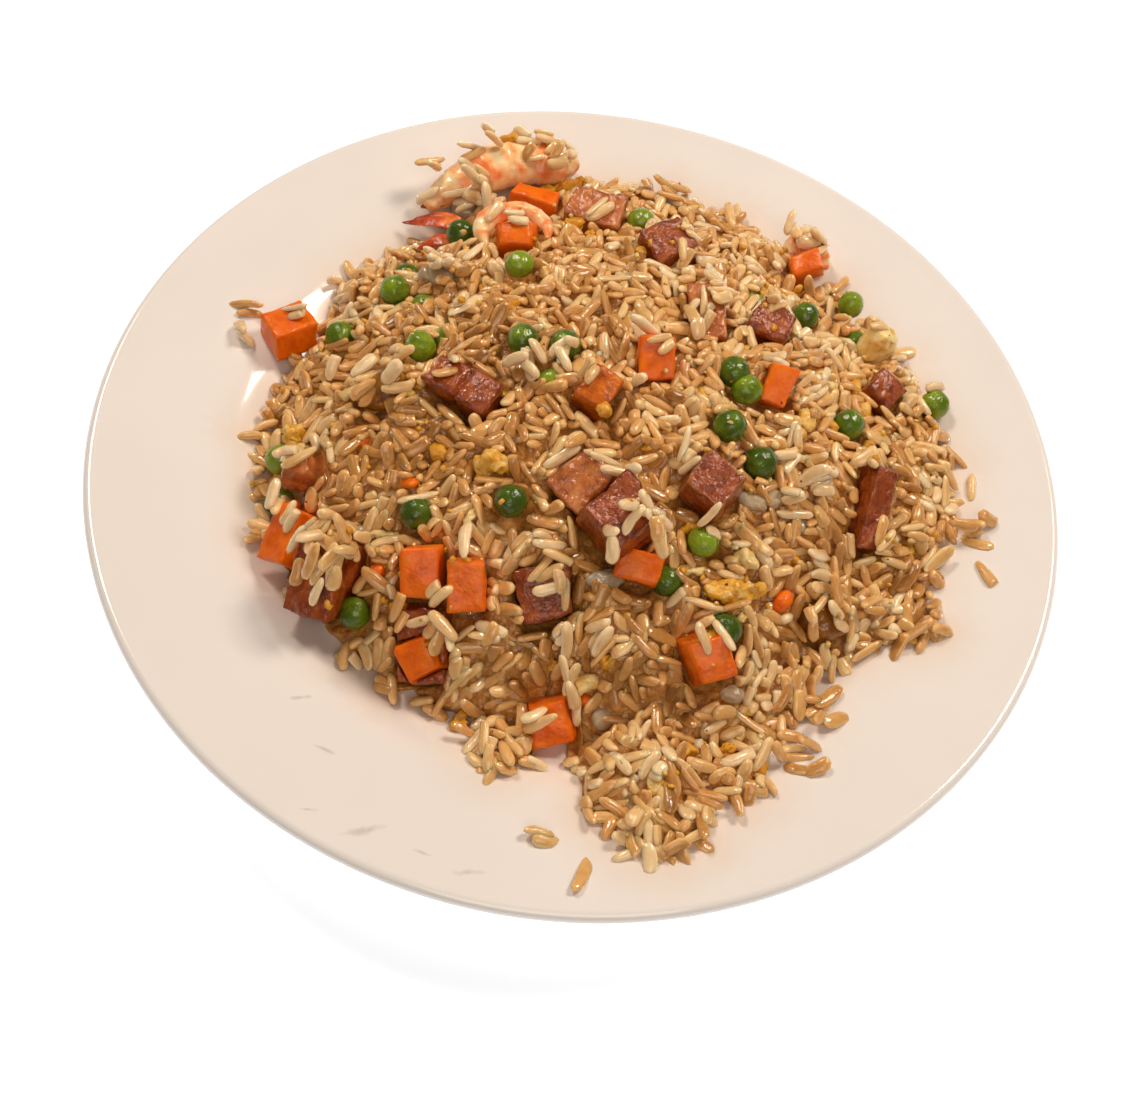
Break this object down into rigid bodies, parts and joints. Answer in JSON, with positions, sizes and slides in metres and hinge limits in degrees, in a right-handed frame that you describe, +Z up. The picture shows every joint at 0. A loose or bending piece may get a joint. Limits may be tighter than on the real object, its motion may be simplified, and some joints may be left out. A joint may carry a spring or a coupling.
{
  "type": "plate of fried rice",
  "caption": "Round plate with a wide sloping rim, heaped with fried rice, peas, diced carrot, ham cubes, pineapple, shrimp and egg.",
  "frame": {"origin": "on the table under the middle of the plate", "axes": "+Z up, -Y towards the near side of the plate, +X to the right"},
  "size_m": [0.28, 0.28, 0.0587],
  "materials": {
    "glazed_porcelain": "smooth glossy cream-white glaze",
    "cooked_rice": "tan grains with a thin coat of oil",
    "carrot": "moist cut faces",
    "ham": "fried faces, browned at the edges",
    "pea": "shiny skin",
    "shrimp": "moist, with orange bands",
    "fruit": "wet and a little translucent",
    "egg": "soft scrambled curds"
  },
  "bodies": {
    "root": {"plate": "glazed_porcelain", "rice": "cooked_rice", "carrot_01": "carrot", "carrot_02": "carrot", "carrot_03": "carrot", "carrot_04": "carrot", "carrot_05": "carrot", "carrot_06": "carrot", "carrot_07": "carrot", "carrot_08": "carrot", "carrot_09": "carrot", "carrot_10": "carrot", "carrot_11": "carrot", "carrot_12": "carrot", "carrot_13": "carrot", "carrot_14": "carrot", "ham_01": "ham", "ham_02": "ham", "ham_03": "ham", "ham_04": "ham", "ham_05": "ham", "ham_06": "ham", "ham_07": "ham", "ham_08": "ham", "ham_09": "ham", "ham_10": "ham", "ham_11": "ham", "ham_12": "ham", "ham_13": "ham", "ham_14": "ham", "pea_01": "pea", "pea_02": "pea", "pea_03": "pea", "pea_04": "pea", "pea_05": "pea", "pea_06": "pea", "pea_07": "pea", "pea_08": "pea", "pea_09": "pea", "pea_10": "pea", "pea_11": "pea", "pea_12": "pea", "pea_13": "pea", "pea_14": "pea", "pea_15": "pea", "pea_16": "pea", "pea_17": "pea", "pea_18": "pea", "pea_19": "pea", "pea_20": "pea", "pea_21": "pea", "pea_22": "pea", "shrimp_01": "shrimp", "shrimp_02": "shrimp", "fruit_01": "fruit", "fruit_02": "fruit", "fruit_03": "fruit", "egg_01": "egg", "egg_02": "egg", "egg_03": "egg"}
  },
  "joints": []
}
